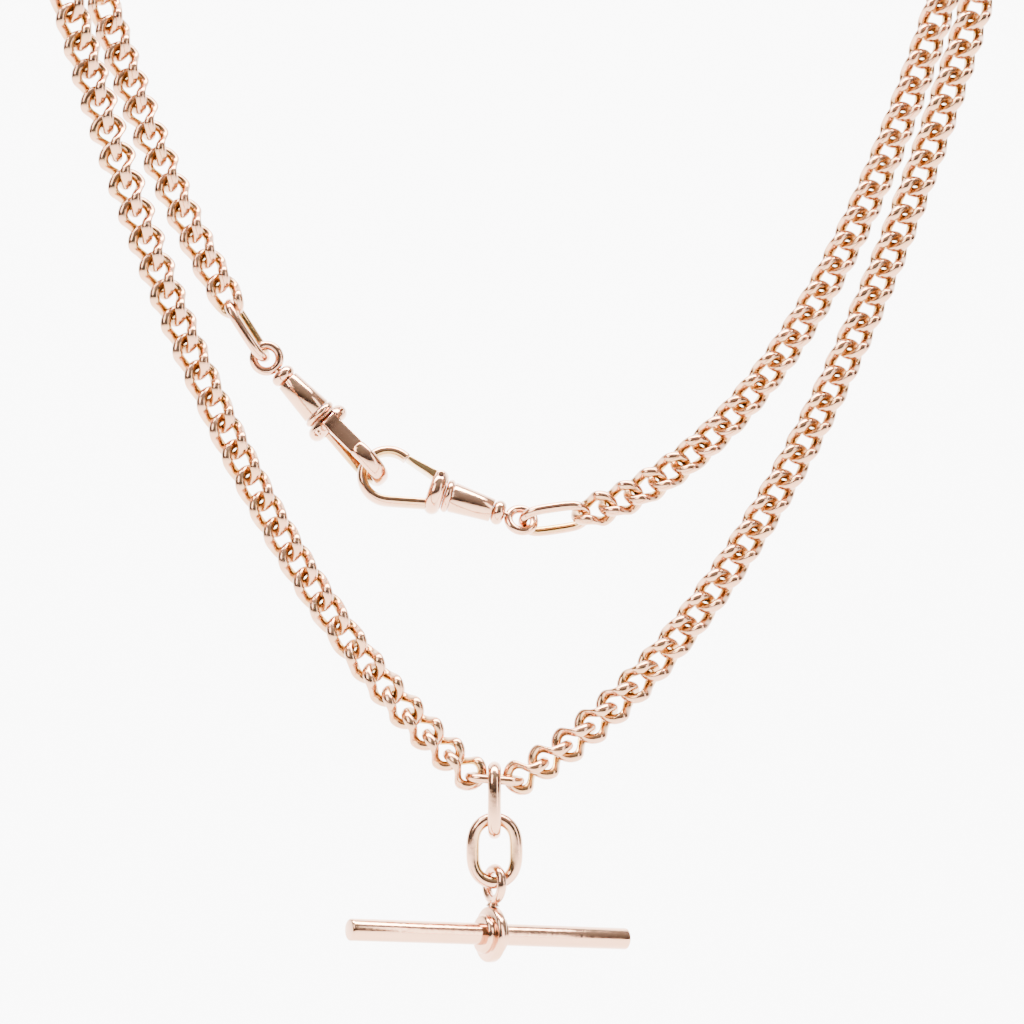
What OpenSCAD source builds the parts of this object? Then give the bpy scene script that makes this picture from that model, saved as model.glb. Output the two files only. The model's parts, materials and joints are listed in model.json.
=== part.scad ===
// Gentleman's double Albert: a curb-link pocket watch chain with a swivel clip at each end,
// clipped to each other so that the chain hangs as a closed loop over two pegs, and a T-bar
// on a drop ring at the middle.
//
// Frame: +X to the wearer's left along the two strands, +Z up, the viewer on the -Y side.
// The origin is the centre of the left peg. The lower strand with the T-bar hangs in front
// of the pegs, the upper strand with the two clips behind them.

/* [Curb links] */
// Wire of a curb link
wire_d = 1.05; // [0.8:0.05:1.3]
// Outer length of a curb link
link_l = 5.8; // [5:0.05:7]
// Radius of a link's end bow, at the centre of the wire
bow_r = 1.7; // [1.4:0.05:2]
// How far each end bow is turned out of the link's flat
end_roll = 42; // [38:1:45]
// Wire of the plain middle link that carries the drop ring
center_wire_d = 1; // [0.8:0.05:1.1]
// How much longer the middle link is than a curb link
center_extra = 1.2; // [1:0.05:1.6]
// Gap between the wires of two links, or of a link and a ring
play = 0.35; // [0.3:0.01:0.45]

/* [Hang] */
// Links of the lower strand left of the centre link
lower_left_links = 31; // [24:1:40]
// Links of the lower strand right of the centre link
lower_right_links = 33; // [24:1:40]
// Links between the left peg and the first clip
upper_left_links = 12; // [9:1:20]
// Links between the right peg and the second clip
upper_right_links = 24; // [16:1:32]
// Links that turn over a peg
peg_links = 7; // [7:1:9]
// Sideways pull of the hanging lower strand, as a length of its own chain
lower_pull = 38.8; // [25:0.1:60]
// Slope of the lower strand beside the centre link, on the left
left_slope = 39.4; // [20:0.5:50]
// Slope of the lower strand beside the centre link, on the right
right_slope = 29.7; // [15:0.5:50]
// How far the upper strand sits inside the lower one at a peg
strand_shift = 2.7; // [1:0.1:4]

/* [Rings] */
// Wire of the oval rings that carry the clips
jump_wire_d = 1.05; // [0.8:0.05:1.3]
// Outer length of a clip's oval ring
jump_l = 8.8; // [7:0.1:10]
// Outer width of a clip's oval ring
jump_w = 5; // [4.2:0.1:6]
// Wire of the drop ring
drop_wire_d = 1.5; // [1.2:0.05:1.8]
// Outer length of the drop ring
drop_l = 9; // [8:0.1:11]
// Outer width of the drop ring
drop_w = 5.4; // [5.2:0.1:6.5]
// Outer length of the oval link above the T-bar
oval_l = 8.9; // [8:0.1:11]
// Outer width of the oval link above the T-bar
oval_w = 6.3; // [5.8:0.1:7.5]

/* [T-bar] */
// Length of the bar
bar_l = 36; // [26:0.5:42]
// Thickness of the bar
bar_d = 2.5; // [2:0.05:3.2]
// Diameter of the collar's rim
collar_d = 6.4; // [5:0.1:8]
// Turn of the bar about the vertical, as it hangs
bar_yaw = 28; // [-45:1:45]
// Tilt of the bar, as it hangs
bar_tilt = 5; // [-10:1:10]

/* [Clips] */
// Length of a clip from the middle of its eye to the outside of its hook
clip_l = 20.4; // [18:0.1:23]
// Width across the open loop of the hook
hook_w = 7.4; // [6.8:0.1:8.4]
// Thickness of the hook in the plane of its loop
hook_t = 1.1; // [0.9:0.05:1.3]
// Breadth of the hook across its loop
hook_b = 1.9; // [1.6:0.1:2.2]
// Diameter of the collar bead
bead_d = 5.5; // [5:0.1:6.4]
// Diameter of the barrel beside the collar bead
barrel_d = 3.5; // [3:0.1:4]
// Wire of the swivel eye
eye_wire_d = 0.95; // [0.8:0.05:1.1]
// Radius of the swivel eye, at the centre of its wire
eye_r = 1.55; // [1.4:0.05:1.8]
// Thickness of the lever
lever_t = 0.95; // [0.7:0.05:1.1]
// Turn of the first clip's loop about the chain, flat to the viewer at 0
first_turn = 78; // [70:1:85]
// Turn of the second clip's loop about the chain, flat to the viewer at 0
second_turn = 15; // [5:1:20]
// Free length between the two hooks' bows
hook_play = 1.5; // [1.3:0.1:2]

/* [Hidden] */
$fn = 48;
// A ball rounds the corner where a turned bow meets a bar, a little proud of the wire
swell = 1.04;
// Fit of parts that turn in each other, and of parts that are soldered or riveted together
turn_gap = 0.1;
set_gap = 0.02;
FRONT = [0, -1, 0];

function unit(v) = v / norm(v);
function asinh(x) = ln(x + sqrt(1 + x * x));
function atanh(x) = ln((1 + x) / (1 - x)) / 2;
function sinh(x) = (exp(x) - exp(-x)) / 2;

// A link reaches from its centre to the point where it crosses the next one
function reach(l, d, other_d) = (l - d) / 2 - (d + other_d) / 4 - play / 2;
pitch = 2 * reach(link_l, wire_d, wire_d);
center_l = link_l + center_extra;
center_reach = reach(center_l, center_wire_d, wire_d);
center_dip = (left_slope - right_slope) / 2;
along_center = center_reach * [cos(center_dip), 0, -sin(center_dip)];
// the centre link is wide enough for the drop ring to pass beside its far bar
drop_r = (drop_w - drop_wire_d) / 2;
drop_seat = (center_wire_d + drop_wire_d) / 2 + play / 2;
drop_half = sqrt(drop_r * drop_r - pow(max(0, drop_r - drop_seat), 2));
center_bars = drop_half + (center_wire_d + drop_wire_d) / 2 + play / 2;

// A hanging strand: x and z at arc length s from the lowest point of its curve
function hang_x(a, s) = a * asinh(s / a);
function hang_z(a, s) = sqrt(a * a + s * s);
function hang_point(a, s, s0, side) =
    [side * (hang_x(a, s) - hang_x(a, s0)), 0, hang_z(a, s) - hang_z(a, s0)];

// The pegs: a strand turns over each one on a circle through its crossing points
peg_turn = pitch / 2 / sin(90 / peg_links);
s_left = lower_pull * tan(left_slope);
s_right = lower_pull * tan(right_slope);
rise_left = hang_point(lower_pull, s_left + lower_left_links * pitch, s_left, -1);
rise_right = hang_point(lower_pull, s_right + lower_right_links * pitch, s_right, 1);
function top_slope(s0, n) = atan((s0 + n * pitch) / lower_pull);
slope_left = top_slope(s_left, lower_left_links);
slope_right = top_slope(s_right, lower_right_links);
up_left = [-cos(slope_left), 0, sin(slope_left)];
up_right = [cos(slope_right), 0, sin(slope_right)];
in_left = [sin(slope_left), 0, cos(slope_left)];
in_right = [-sin(slope_right), 0, cos(slope_right)];
left_peg = [0, 0, 0];
center = left_peg - strand_shift / 2 * in_left + peg_turn * FRONT - rise_left
    + along_center;
right_peg = center + along_center + rise_right + strand_shift / 2 * in_right
    - peg_turn * FRONT;

// Crossing points of the lower strand, from the left peg to the right peg
function lower_point(i) =
    i <= lower_left_links
    ? center - along_center
        + hang_point(lower_pull, s_left + (lower_left_links - i) * pitch, s_left, -1)
    : center + along_center
        + hang_point(lower_pull, s_right + (i - 1 - lower_left_links) * pitch, s_right, 1);
lower_links = lower_left_links + 1 + lower_right_links;

// The upper strand: one hanging curve between the pegs, as long as all that is on it
upper_start = left_peg + strand_shift / 2 * in_left - peg_turn * FRONT;
upper_end = right_peg + strand_shift / 2 * in_right - peg_turn * FRONT;
upper_span = upper_end.x - upper_start.x;
upper_rise = upper_end.z - upper_start.z;

jump_end = (jump_l - jump_wire_d) / 2;
jump_out = jump_end - (jump_wire_d + wire_d) / 4 - play / 2;
jump_in = jump_end - (jump_wire_d + eye_wire_d) / 4 - play / 2;
jump_span = jump_out + jump_in;
eye_out = eye_r - (jump_wire_d + eye_wire_d) / 4 - play / 2;
hook_reach = clip_l - hook_t - hook_play / 2;
clip_span = eye_out + hook_reach;

function curve_radius(a, s) = (a * a + s * s) / a;
function chord_arc(c, a, s) = c + pow(c, 3) / 24 / pow(curve_radius(a, s), 2);
// u solves sinh(u) / u = k by halving
function solve_u(k, lo, hi, n) =
    n == 0 ? (lo + hi) / 2
    : let (m = (lo + hi) / 2) sinh(m) / m < k ? solve_u(k, m, hi, n - 1) : solve_u(k, lo, m, n - 1);
function curve_for(len) =
    upper_span / 2 / solve_u(sqrt(len * len - upper_rise * upper_rise) / upper_span, 0.01, 6, 40);
function start_s(a, len) =
    -a * sinh((upper_span / 2 - a * atanh(upper_rise / len)) / a);
function stops(a, s0) =
    let (s1 = s0 + upper_left_links * pitch,
         s2 = s1 + chord_arc(jump_span, a, s1 + jump_span / 2),
         s3 = s2 + chord_arc(clip_span, a, s2 + clip_span / 2),
         s4 = s3 + chord_arc(clip_span, a, s3 + clip_span / 2),
         s5 = s4 + chord_arc(jump_span, a, s4 + jump_span / 2))
    [s1, s2, s3, s4, s5, s5 + upper_right_links * pitch];
plain_len = (upper_left_links + upper_right_links) * pitch + 2 * (jump_span + clip_span);
function settle(len, n) =
    n == 0 ? len
    : let (a = curve_for(len), s0 = start_s(a, len), st = stops(a, s0)) settle(st[5] - s0, n - 1);
upper_len = settle(plain_len, 4);
upper_pull = curve_for(upper_len);
upper_s0 = start_s(upper_pull, upper_len);
upper_stops = stops(upper_pull, upper_s0);
function upper_at(s) =
    upper_start + [hang_x(upper_pull, s) - hang_x(upper_pull, upper_s0), 0,
                   hang_z(upper_pull, s) - hang_z(upper_pull, upper_s0)];
// Crossing points of the upper strand from each peg inwards
function upper_left_point(i) = upper_at(upper_s0 + i * pitch);
function upper_right_point(i) = upper_at(upper_stops[5] - i * pitch);

// Crossing points over a peg, from the lower strand to the upper one
function peg_point(peg, up, inner, k) =
    let (t = 180 * k / peg_links)
    peg + peg_turn * (cos(t) * FRONT + sin(t) * up)
        + strand_shift * (k / peg_links - 0.5) * inner;
function peg_normal(up, k) =
    let (t = 180 * (k + 0.5) / peg_links) cos(t) * FRONT + sin(t) * up;

// Roll of the links about the chain, by place along each strand: flat to the viewer at 0
crossing_roll = 90 - end_roll;
LOWER_ROLLS = [[0, 0], [5, 35], [15, 0], [lower_left_links - 8, 0],
    [lower_left_links - 1, -crossing_roll], [lower_left_links + 1, crossing_roll],
    [lower_left_links + 8, 0], [lower_links - 1, 0]];
UPPER_LEFT_ROLLS = [[0, 0], [4, 30], [upper_left_links, 0]];
UPPER_RIGHT_ROLLS = [[0, 0], [upper_right_links - 6, 0], [upper_right_links - 1, -20]];
LEFT_PEG_ROLL = 0;
RIGHT_PEG_ROLL = 0;

GOLD = [0.80, 0.55, 0.42];
PALE_GOLD = [0.85, 0.62, 0.48];
YELLOW_GOLD = [0.80, 0.62, 0.36];

// A round bar between two points
module rod(a, b, d) {
    v = b - a;
    translate(a)
        rotate([0, acos(v.z / norm(v)), atan2(v.y, v.x)])
            cylinder(d = d, h = norm(v));
}

// A ring of wire along X: two half-round bows joined by two bars, each bow turned by roll
module wire_link(l, d, r, roll = 0) {
    half = (l - d) / 2 - r;
    for (side = [0, 180])
        rotate([0, side, 0])
            rotate([roll, 0, 0])
                translate([half, 0, 0])
                    rotate([0, 0, -90])
                        rotate_extrude(angle = 180)
                            translate([r, 0])
                                circle(d = d);
    for (s = [-1, 1]) {
        a = [half, s * r * cos(roll), s * r * sin(roll)];
        b = [-a.x, a.y, -a.z];
        rod(a, b, d);
        if (roll != 0) {
            translate(a) sphere(d = d * swell);
            translate(b) sphere(d = d * swell);
        }
    }
}

module curb_link() {
    wire_link(link_l, wire_d, bow_r, end_roll);
}

// Moves a piece into the frame with origin o, X along x and Z as near face as it goes
module frame(o, along, face) {
    x = unit(along);
    y = unit(cross(face, x));
    z = cross(x, y);
    multmatrix([[x.x, y.x, z.x, o.x], [x.y, y.y, z.y, o.y], [x.z, y.z, z.z, o.z], [0, 0, 0, 1]])
        children();
}

// Puts a link, drawn about its middle, between its two crossing points
module between(p, q, face, roll) {
    frame((p + q) / 2, q - p, face)
        rotate([roll, 0, 0])
            children();
}

// ---- strands: links are shared out among a strand's nodes as evenly as they go ----

LOWER_GROUPS = 17;
UPPER_LEFT_GROUPS = 4;
UPPER_RIGHT_GROUPS = 6;
function share(g, groups, count) =
    [floor(g * count / groups):floor((g + 1) * count / groups) - 1];

module center_link() {
    wire_link(center_l, center_wire_d, center_bars / 2);
}

module lower_group(g) {
    for (i = share(g, LOWER_GROUPS, lower_links))
        if (i == lower_left_links)
            between(lower_point(i), lower_point(i + 1), FRONT, 90) center_link();
        else
            between(lower_point(i), lower_point(i + 1), FRONT, lookup(i, LOWER_ROLLS))
                curb_link();
}

module upper_left_group(g) {
    for (i = share(g, UPPER_LEFT_GROUPS, upper_left_links))
        between(upper_left_point(i), upper_left_point(i + 1), FRONT, lookup(i, UPPER_LEFT_ROLLS))
            curb_link();
}

module upper_right_group(g) {
    for (i = share(g, UPPER_RIGHT_GROUPS, upper_right_links))
        between(upper_right_point(i + 1), upper_right_point(i), FRONT, lookup(i, UPPER_RIGHT_ROLLS))
            curb_link();
}

module over_peg(peg, up, inner, roll) {
    color(PALE_GOLD)
        for (k = [0:peg_links - 1])
            between(peg_point(peg, up, inner, k), peg_point(peg, up, inner, k + 1),
                    peg_normal(up, k), roll)
                curb_link();
}

// ---- drop: ring, oval link and T-bar ----

bar_ring_y = center.y - center_bars / 2;
drop_top = center.z + drop_seat;
drop_low = drop_top - (drop_l - drop_wire_d);
oval_wire_d = drop_wire_d;
oval_top = drop_low + (drop_wire_d + oval_wire_d) / 2 + play / 2;
oval_low = oval_top - (oval_l - oval_wire_d);
bar_eye_wire_d = 1.1;
bar_eye_r = 1.8;
eye_neck = 0.15;
eye_top = oval_low + (oval_wire_d + bar_eye_wire_d) / 2 + play;
eye_center = [center.x, bar_ring_y, eye_top - bar_eye_r];
bar_axis = [cos(bar_yaw) * cos(bar_tilt), sin(bar_yaw) * cos(bar_tilt), -sin(bar_tilt)];
bar_up = unit([0, 0, 1] - bar_axis.z * bar_axis);
eye_rise = collar_d / 2 + bar_eye_r + bar_eye_wire_d / 2 + eye_neck;
bar_center = eye_center - eye_rise * bar_up;

module drop_ring() {
    color(GOLD)
        between([center.x, bar_ring_y, drop_top], [center.x, bar_ring_y, drop_low], [1, 0, 0], 0)
            wire_link(drop_l, drop_wire_d, drop_r);
}

module oval_link() {
    color(PALE_GOLD)
        between([center.x, bar_ring_y, oval_top], [center.x, bar_ring_y, oval_low], FRONT, 0)
            wire_link(oval_l, oval_wire_d, (oval_w - oval_wire_d) / 2);
}

module on_bar() {
    frame(bar_center, bar_axis, bar_up) children();
}

module bar_rod() {
    bevel = 0.25;
    color(GOLD)
        on_bar()
            rotate([0, 90, 0]) {
                cylinder(d = bar_d, h = bar_l - 2 * bevel, center = true);
                for (side = [0, 180])
                    rotate([side, 0, 0])
                        translate([0, 0, bar_l / 2 - bevel])
                            cylinder(d1 = bar_d, d2 = bar_d - 2 * bevel, h = bevel);
            }
}

module bar_collar() {
    rim_t = 1.1;
    step_d = collar_d * 0.7;
    step_t = 0.8;
    color(PALE_GOLD)
        on_bar()
            rotate([0, 90, 0])
                difference() {
                    union() {
                        cylinder(d = collar_d, h = rim_t, center = true);
                        cylinder(d = step_d, h = rim_t + 2 * step_t, center = true);
                    }
                    cylinder(d = bar_d + 2 * set_gap, h = rim_t + 4 * step_t, center = true);
                }
}

module bar_eye() {
    neck_d = 1.3;
    neck_from = collar_d / 2 + set_gap;
    color(GOLD)
        on_bar() {
            translate([0, 0, eye_rise])
                rotate([0, 90, 0])
                    rotate_extrude()
                        translate([bar_eye_r, 0])
                            circle(d = bar_eye_wire_d);
            translate([0, 0, neck_from])
                cylinder(d = neck_d, h = eye_rise - bar_eye_r - neck_from);
        }
}

// ---- clips, drawn along X from the middle of the eye, the loop in XY, the lever at +Y ----

stem_d = 0.9;
head_d = 1.7;
head_t = 0.6;
cap_x = eye_r + eye_wire_d / 2 + turn_gap;
cap_l = 1.5;
barrel_x = cap_x + cap_l;
ring_t = 0.9;
bead_t = 2;
bow_out = hook_w / 2;
bow_x = clip_l - bow_out;
loop_room = 2.1;
bead_x = bow_x - 0.4 * clip_l + loop_room;
ring_x = bead_x - bead_t / 2 - ring_t / 2;
barrel_l = ring_x - ring_t / 2 - barrel_x;
head_x = barrel_x + 0.9;
pivot_out = 0.1;
pivot_height = 0.62;
pivot = [bead_x + pivot_out, bead_d / 2 * pivot_height];
knuckle_d = 1.5;
// Cap's ball and barrel's small end, as shares of the barrel's wide end
CAP_SHARE = 0.86;
TAPER = 0.76;
rivet_d = 0.8;
tip_turn = 118;
arm_turn = -105;
bow_mid = bow_out - hook_t / 2;
tip = [bow_x + bow_mid * cos(tip_turn), bow_mid * sin(tip_turn)];
slot_b = hook_b + 2 * turn_gap;
slot_floor = pivot.y - knuckle_d / 2 - 0.3;
spring_t = 0.12;

function turn_point(r, t) = [bow_x + r * cos(t), r * sin(t)];

module swivel_eye() {
    rotate_extrude()
        translate([eye_r, 0])
            circle(d = eye_wire_d);
    rotate([0, 90, 0]) {
        translate([0, 0, eye_r]) cylinder(d = stem_d, h = head_x + head_t / 2 - eye_r);
        translate([0, 0, head_x]) cylinder(d = head_d, h = head_t);
    }
}

module clip_cap() {
    difference() {
        intersection() {
            translate([cap_x + cap_l / 2, 0, 0]) sphere(d = barrel_d * CAP_SHARE);
            translate([cap_x, -bead_d, -bead_d]) cube([cap_l, 2 * bead_d, 2 * bead_d]);
        }
        rotate([0, 90, 0]) cylinder(d = stem_d + 2 * turn_gap, h = clip_l);
    }
}

module clip_barrel() {
    wall = 0.3;
    translate([barrel_x + set_gap, 0, 0])
        rotate([0, 90, 0])
            difference() {
                cylinder(d1 = barrel_d * TAPER, d2 = barrel_d, h = barrel_l - 2 * set_gap);
                translate([0, 0, -1]) cylinder(d = stem_d + 2 * turn_gap, h = 3);
                translate([0, 0, wall]) cylinder(d = head_d + 2 * turn_gap, h = 2);
            }
}

module clip_ring() {
    translate([ring_x, 0, 0])
        rotate([0, 90, 0]) {
            rotate_extrude()
                translate([barrel_d / 2 - 0.15, 0])
                    circle(d = ring_t - 2 * set_gap);
            cylinder(d = barrel_d - 0.3, h = ring_t * 0.8, center = true);
        }
}

module clip_bead() {
    rim = bead_t / 2 - set_gap;
    difference() {
        translate([bead_x, 0, 0])
            rotate([0, 90, 0]) {
                rotate_extrude()
                    translate([bead_d / 2 - rim, 0])
                        circle(r = rim);
                cylinder(r = bead_d / 2 - rim, h = bead_t * 0.85, center = true);
            }
        translate([bead_x - bead_t / 2 + 0.25, slot_floor, -slot_b / 2])
            cube([bead_t, bead_d, slot_b]);
        translate([pivot.x, pivot.y, 0]) cylinder(d = rivet_d + 2 * set_gap, h = bead_d, center = true);
        arm_outline_cut();
    }
}

// Seat of the hook's arm in the bead
module arm_outline_cut() {
    translate([0, 0, -hook_b / 2 - set_gap])
        linear_extrude(hook_b + 2 * set_gap)
            polygon(arm_points(hook_t + 2 * set_gap, bead_x - set_gap));
}

arm_dir = [cos(arm_turn - 90), sin(arm_turn - 90)];
arm_side = [-arm_dir.y, arm_dir.x];
arm_start = turn_point(bow_mid, arm_turn);
arm_reach = (bead_x - arm_start.x) / arm_dir.x;
function arm_points(t, x_end) =
    let (n = (x_end - arm_start.x) / arm_dir.x, a = arm_start - 0.2 * arm_dir, b = arm_start + n * arm_dir)
    [a + t / 2 * arm_side, b + t / 2 * arm_side, b - t / 2 * arm_side, a - t / 2 * arm_side];

module clip_hook() {
    step = (tip_turn - arm_turn) / 24;
    outer = [for (k = [0:24]) turn_point(bow_out, arm_turn + k * step)];
    inner = [for (k = [24:-1:0]) turn_point(bow_out - hook_t, arm_turn + k * step)];
    arm_end = arm_start + arm_reach * arm_dir;
    arm = [arm_end - hook_t / 2 * arm_side, arm_end + hook_t / 2 * arm_side];
    translate([0, 0, -hook_b / 2])
        linear_extrude(hook_b)
            polygon(concat(outer, inner, arm));
}

module clip_lever() {
    lever_dir = unit(tip - pivot);
    side = [-lever_dir.y, lever_dir.x];
    stop_at = norm(tip - pivot) - 0.08;
    end_top = pivot + stop_at * lever_dir;
    // the tip is cut square to the hook's end
    end_dir = [cos(tip_turn), sin(tip_turn)];
    difference() {
        union() {
            translate([pivot.x, pivot.y, -hook_b / 2]) cylinder(d = knuckle_d, h = hook_b);
            translate([0, 0, -hook_b / 2])
                linear_extrude(hook_b)
                    polygon([pivot + lever_t / 2 * side, pivot - lever_t / 2 * side,
                             end_top - lever_t / 2 * end_dir, end_top + lever_t / 2 * end_dir]);
        }
        translate([pivot.x, pivot.y, 0])
            cylinder(d = rivet_d + 2 * turn_gap, h = 2 * hook_b, center = true);
    }
}

module clip_rivet() {
    chord = 2 * sqrt(pow(bead_d / 2, 2) - pow(pivot.y, 2));
    translate([pivot.x, pivot.y, 0]) cylinder(d = rivet_d, h = chord + 0.1, center = true);
}

module clip_spring() {
    translate([bead_x - bead_t / 2 + 0.3, slot_floor + set_gap, -hook_b * 0.4])
        cube([bead_t * 0.75, spring_t, hook_b * 0.8]);
}

module clip_jump() {
    wire_link(jump_l, jump_wire_d, (jump_w - jump_wire_d) / 2);
}

function upper_stop(k) = upper_at(upper_stops[k]);
FIRST_JUMP_ROLL = 100;
SECOND_JUMP_ROLL = 50;
SECOND_EYE_ROLL = 35;

// Moves an eye's pieces to where they hang; a clip's own pieces are turned about it as well
module on_eye(stop) {
    p = upper_stop(stop);
    v = unit(upper_stop(2) - p);
    frame(p + eye_out * v, v, FRONT) children();
}

module on_first() {
    on_eye(1) rotate([first_turn, 0, 0]) children();
}

module on_second() {
    on_eye(3) rotate([180 + second_turn, 0, 0]) children();
}

// A jump link's two ends reach differently, because a curb link and an eye differ in wire
jump_shift = (jump_out - jump_in) / 2;

// ---- sub-parts ----

module over_left_peg() over_peg(left_peg, up_left, in_left, LEFT_PEG_ROLL);
module over_right_peg() over_peg(right_peg, up_right, in_right, RIGHT_PEG_ROLL);
module lower_01() color(GOLD) lower_group(0);
module lower_02() color(PALE_GOLD) lower_group(1);
module lower_03() color(GOLD) lower_group(2);
module lower_04() color(PALE_GOLD) lower_group(3);
module lower_05() color(GOLD) lower_group(4);
module lower_06() color(PALE_GOLD) lower_group(5);
module lower_07() color(GOLD) lower_group(6);
module lower_08() color(PALE_GOLD) lower_group(7);
module lower_09() color(GOLD) lower_group(8);
module lower_10() color(PALE_GOLD) lower_group(9);
module lower_11() color(GOLD) lower_group(10);
module lower_12() color(PALE_GOLD) lower_group(11);
module lower_13() color(GOLD) lower_group(12);
module lower_14() color(PALE_GOLD) lower_group(13);
module lower_15() color(GOLD) lower_group(14);
module lower_16() color(PALE_GOLD) lower_group(15);
module lower_17() color(GOLD) lower_group(16);
module upper_left_1() color(PALE_GOLD) upper_left_group(0);
module upper_left_2() color(GOLD) upper_left_group(1);
module upper_left_3() color(PALE_GOLD) upper_left_group(2);
module upper_left_4() color(GOLD) upper_left_group(3);
module upper_right_1() color(PALE_GOLD) upper_right_group(0);
module upper_right_2() color(GOLD) upper_right_group(1);
module upper_right_3() color(PALE_GOLD) upper_right_group(2);
module upper_right_4() color(GOLD) upper_right_group(3);
module upper_right_5() color(PALE_GOLD) upper_right_group(4);
module upper_right_6() color(GOLD) upper_right_group(5);

module first_jump_link() {
    color(PALE_GOLD)
        between(upper_stop(0), upper_stop(1), FRONT, FIRST_JUMP_ROLL)
            translate([jump_shift, 0, 0]) clip_jump();
}

module second_jump_link() {
    color(PALE_GOLD)
        between(upper_stop(3), upper_stop(4), FRONT, SECOND_JUMP_ROLL)
            translate([-jump_shift, 0, 0]) clip_jump();
}

module first_swivel_eye() color(GOLD) on_eye(1) swivel_eye();
module first_cap() color(PALE_GOLD) on_first() clip_cap();
module first_barrel() color(GOLD) on_first() clip_barrel();
module first_ring() color(PALE_GOLD) on_first() clip_ring();
module first_bead() color(GOLD) on_first() clip_bead();
module first_hook() color(PALE_GOLD) on_first() clip_hook();
module first_lever() color(YELLOW_GOLD) on_first() clip_lever();
module first_rivet() color(GOLD) on_first() clip_rivet();
module first_spring() color(YELLOW_GOLD) on_first() clip_spring();
module second_swivel_eye() color(GOLD) on_eye(3) rotate([SECOND_EYE_ROLL, 0, 0]) swivel_eye();
module second_cap() color(PALE_GOLD) on_second() clip_cap();
module second_barrel() color(GOLD) on_second() clip_barrel();
module second_ring() color(PALE_GOLD) on_second() clip_ring();
module second_bead() color(GOLD) on_second() clip_bead();
module second_hook() color(PALE_GOLD) on_second() clip_hook();
module second_lever() color(YELLOW_GOLD) on_second() clip_lever();
module second_rivet() color(GOLD) on_second() clip_rivet();
module second_spring() color(YELLOW_GOLD) on_second() clip_spring();

over_left_peg();
over_right_peg();
lower_01();
lower_02();
lower_03();
lower_04();
lower_05();
lower_06();
lower_07();
lower_08();
lower_09();
lower_10();
lower_11();
lower_12();
lower_13();
lower_14();
lower_15();
lower_16();
lower_17();
upper_left_1();
upper_left_2();
upper_left_3();
upper_left_4();
upper_right_1();
upper_right_2();
upper_right_3();
upper_right_4();
upper_right_5();
upper_right_6();
drop_ring();
oval_link();
bar_eye();
bar_collar();
bar_rod();
first_jump_link();
second_jump_link();
first_swivel_eye();
first_cap();
first_barrel();
first_ring();
first_bead();
first_hook();
first_lever();
first_rivet();
first_spring();
second_swivel_eye();
second_cap();
second_barrel();
second_ring();
second_bead();
second_hook();
second_lever();
second_rivet();
second_spring();
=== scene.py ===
import json
import math
import bmesh
import bpy
from mathutils import Matrix, Vector


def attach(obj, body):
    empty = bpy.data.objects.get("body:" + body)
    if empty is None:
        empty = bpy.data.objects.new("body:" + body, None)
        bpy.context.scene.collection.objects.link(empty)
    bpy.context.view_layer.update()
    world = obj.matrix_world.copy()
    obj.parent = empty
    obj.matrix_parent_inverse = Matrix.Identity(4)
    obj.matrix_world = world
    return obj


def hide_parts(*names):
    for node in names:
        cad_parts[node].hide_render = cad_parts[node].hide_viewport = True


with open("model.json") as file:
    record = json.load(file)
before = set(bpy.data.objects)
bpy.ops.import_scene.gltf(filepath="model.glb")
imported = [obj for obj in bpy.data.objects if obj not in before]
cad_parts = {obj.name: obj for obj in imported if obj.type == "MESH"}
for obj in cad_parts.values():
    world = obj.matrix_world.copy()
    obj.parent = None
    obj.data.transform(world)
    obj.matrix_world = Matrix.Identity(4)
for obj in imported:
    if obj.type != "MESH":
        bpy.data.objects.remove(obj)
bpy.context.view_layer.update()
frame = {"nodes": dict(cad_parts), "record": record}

mm = 0.001
front = Vector((0, -1, 0))

# ---- the hang: the same sizes and curves as the part's own source, in millimetres ----

curb = {"wire": 1.05, "length": 5.8, "bow": 1.7, "roll": 42, "play": 0.35}
middle = {"wire": 1.0, "extra": 1.2}
hang = {"lowerLeft": 31, "lowerRight": 33, "upperLeft": 12, "upperRight": 24, "pegLinks": 7,
        "pull": 38.8, "leftSlope": 39.4, "rightSlope": 29.7, "shift": 2.7}
jump = {"wire": 1.05, "length": 8.8, "width": 5.0}
drop = {"wire": 1.5, "length": 9.0, "width": 5.4}
oval = {"wire": 1.5, "length": 8.9, "width": 6.3}
bar = {"length": 36.0, "thick": 2.5, "collar": 6.4, "yaw": 28, "tilt": 5,
       "eyeWire": 1.1, "eyeRadius": 1.8, "neck": 0.15}
clip = {"length": 20.4, "hookWidth": 7.4, "hookThick": 1.1, "hookBroad": 1.9, "bead": 5.5,
        "barrel": 3.5, "eyeWire": 0.95, "eyeRadius": 1.55, "lever": 0.95, "turn": 78,
        "secondTurn": 15, "secondEyeTurn": 35, "play": 1.5}


def reach(length, wire, otherWire):
    return (length - wire) / 2 - (wire + otherWire) / 4 - curb["play"] / 2


def tand(a):
    return math.tan(math.radians(a))


def hangPoint(pull, s, s0, side=1):
    rise = math.hypot(pull, s) - math.hypot(pull, s0)
    return Vector((side * pull * (math.asinh(s / pull) - math.asinh(s0 / pull)), 0, rise))


pitch = 2 * reach(curb["length"], curb["wire"], curb["wire"])
middleLength = curb["length"] + middle["extra"]
middleReach = reach(middleLength, middle["wire"], middle["wire"])
dip = math.radians((hang["leftSlope"] - hang["rightSlope"]) / 2)
alongMiddle = middleReach * Vector((math.cos(dip), 0, -math.sin(dip)))
dropRadius = (drop["width"] - drop["wire"]) / 2
dropSeat = (middle["wire"] + drop["wire"]) / 2 + curb["play"] / 2
dropHalf = math.sqrt(dropRadius ** 2 - max(0, dropRadius - dropSeat) ** 2)
middleBars = dropHalf + (middle["wire"] + drop["wire"]) / 2 + curb["play"] / 2

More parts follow.
